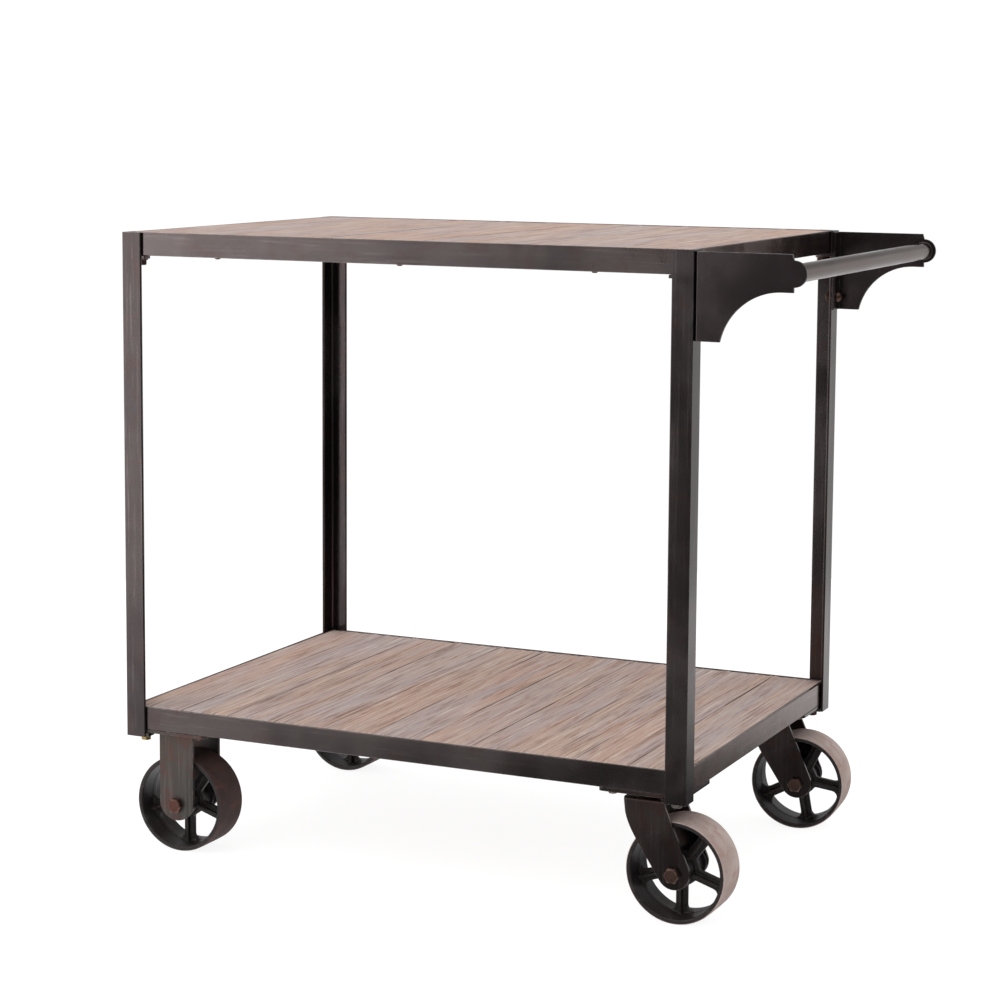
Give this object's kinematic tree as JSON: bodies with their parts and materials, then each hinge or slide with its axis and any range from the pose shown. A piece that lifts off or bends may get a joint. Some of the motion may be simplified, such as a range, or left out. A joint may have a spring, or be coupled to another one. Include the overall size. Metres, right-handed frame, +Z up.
{
  "type": "two-deck bar cart on cast wheels",
  "caption": "Rolling bar cart with angle-iron posts and deck frames, cross-planked wooden decks, an end push handle, and rigid and swivel spoked casters.",
  "frame": {"origin": "on the floor, under the middle of the whole cart with its handle", "axes": "+X along the cart towards the handle, +Y from front to back, +Z up"},
  "size_m": [0.9962, 0.606, 0.884],
  "materials": {
    "dark_iron": "dark gunmetal lacquer over steel, satin, with reddish brown rub marks",
    "burnished_bar": "dark burnished tube, semi-gloss",
    "cast_wheel": "black cast iron with a matte rose-brown rusted tread",
    "bronzed_bolt": "bronzed steel, worn",
    "limed_wood": "limed and weathered grey-beige softwood, matte"
  },
  "bodies": {
    "cart": {"post_front_left": "dark_iron", "post_back_left": "dark_iron", "post_front_right": "dark_iron", "post_back_right": "dark_iron", "lower_deck_frame": "dark_iron", "top_deck_frame": "dark_iron", "lower_plank_01": "limed_wood", "lower_plank_02": "limed_wood", "lower_plank_03": "limed_wood", "lower_plank_04": "limed_wood", "lower_plank_05": "limed_wood", "lower_plank_06": "limed_wood", "lower_plank_07": "limed_wood", "lower_plank_08": "limed_wood", "lower_plank_09": "limed_wood", "lower_plank_10": "limed_wood", "lower_plank_11": "limed_wood", "top_plank_01": "limed_wood", "top_plank_02": "limed_wood", "top_plank_03": "limed_wood", "top_plank_04": "limed_wood", "top_plank_05": "limed_wood", "top_plank_06": "limed_wood", "top_plank_07": "limed_wood", "top_plank_08": "limed_wood", "top_plank_09": "limed_wood", "top_plank_10": "limed_wood", "top_plank_11": "limed_wood", "handle_bracket_front": "dark_iron", "handle_bracket_back": "dark_iron", "handle_bar": "burnished_bar", "bracket_bolt_front": "bronzed_bolt", "bracket_bolt_back": "bronzed_bolt", "bracket_nut_front": "bronzed_bolt", "bracket_nut_back": "bronzed_bolt", "corner_bolt_front_left": "bronzed_bolt", "corner_bolt_back_left": "bronzed_bolt", "corner_bolt_front_right": "bronzed_bolt", "corner_bolt_back_right": "bronzed_bolt", "rigid_fork_front_left": "dark_iron", "rigid_fork_back_left": "dark_iron", "axle_bolt_front_left": "bronzed_bolt", "axle_nut_front_left": "bronzed_bolt", "axle_bolt_back_left": "bronzed_bolt", "axle_nut_back_left": "bronzed_bolt", "swivel_plate_front_right": "dark_iron", "swivel_plate_back_right": "dark_iron", "kingpin_front_right": "bronzed_bolt", "kingpin_back_right": "bronzed_bolt"},
    "swivel_front": {"swivel_fork_front_right": "dark_iron", "axle_bolt_front_right": "bronzed_bolt", "axle_nut_front_right": "bronzed_bolt"},
    "swivel_back": {"swivel_fork_back_right": "dark_iron", "axle_bolt_back_right": "bronzed_bolt", "axle_nut_back_right": "bronzed_bolt"},
    "wheel_front_left": {"wheel_front_left": "cast_wheel"},
    "wheel_back_left": {"wheel_back_left": "cast_wheel"},
    "wheel_front_right": {"wheel_front_right": "cast_wheel"},
    "wheel_back_right": {"wheel_back_right": "cast_wheel"}
  },
  "joints": [
    {"name": "swivel_front", "type": "hinge", "parent": "cart", "child": "swivel_front", "pos_m": [0.28655, -0.2479, 0.1659], "axis": [0, 0, 1], "continuous": true},
    {"name": "roll_front_right", "type": "hinge", "parent": "swivel_front", "child": "wheel_front_right", "pos_m": [0.32755, -0.2479, 0.069], "axis": [0, 1, 0], "continuous": true},
    {"name": "roll_front_left", "type": "hinge", "parent": "cart", "child": "wheel_front_left", "pos_m": [-0.42785, -0.2479, 0.069], "axis": [0, 1, 0], "continuous": true},
    {"name": "swivel_back", "type": "hinge", "parent": "cart", "child": "swivel_back", "pos_m": [0.28655, 0.2479, 0.1659], "axis": [0, 0, 1], "continuous": true},
    {"name": "roll_back_right", "type": "hinge", "parent": "swivel_back", "child": "wheel_back_right", "pos_m": [0.32742, 0.25112, 0.069], "axis": [-0.0785, 0.9969, 0], "continuous": true},
    {"name": "roll_back_left", "type": "hinge", "parent": "cart", "child": "wheel_back_left", "pos_m": [-0.42785, 0.2479, 0.069], "axis": [0, 1, 0], "continuous": true}
  ]
}
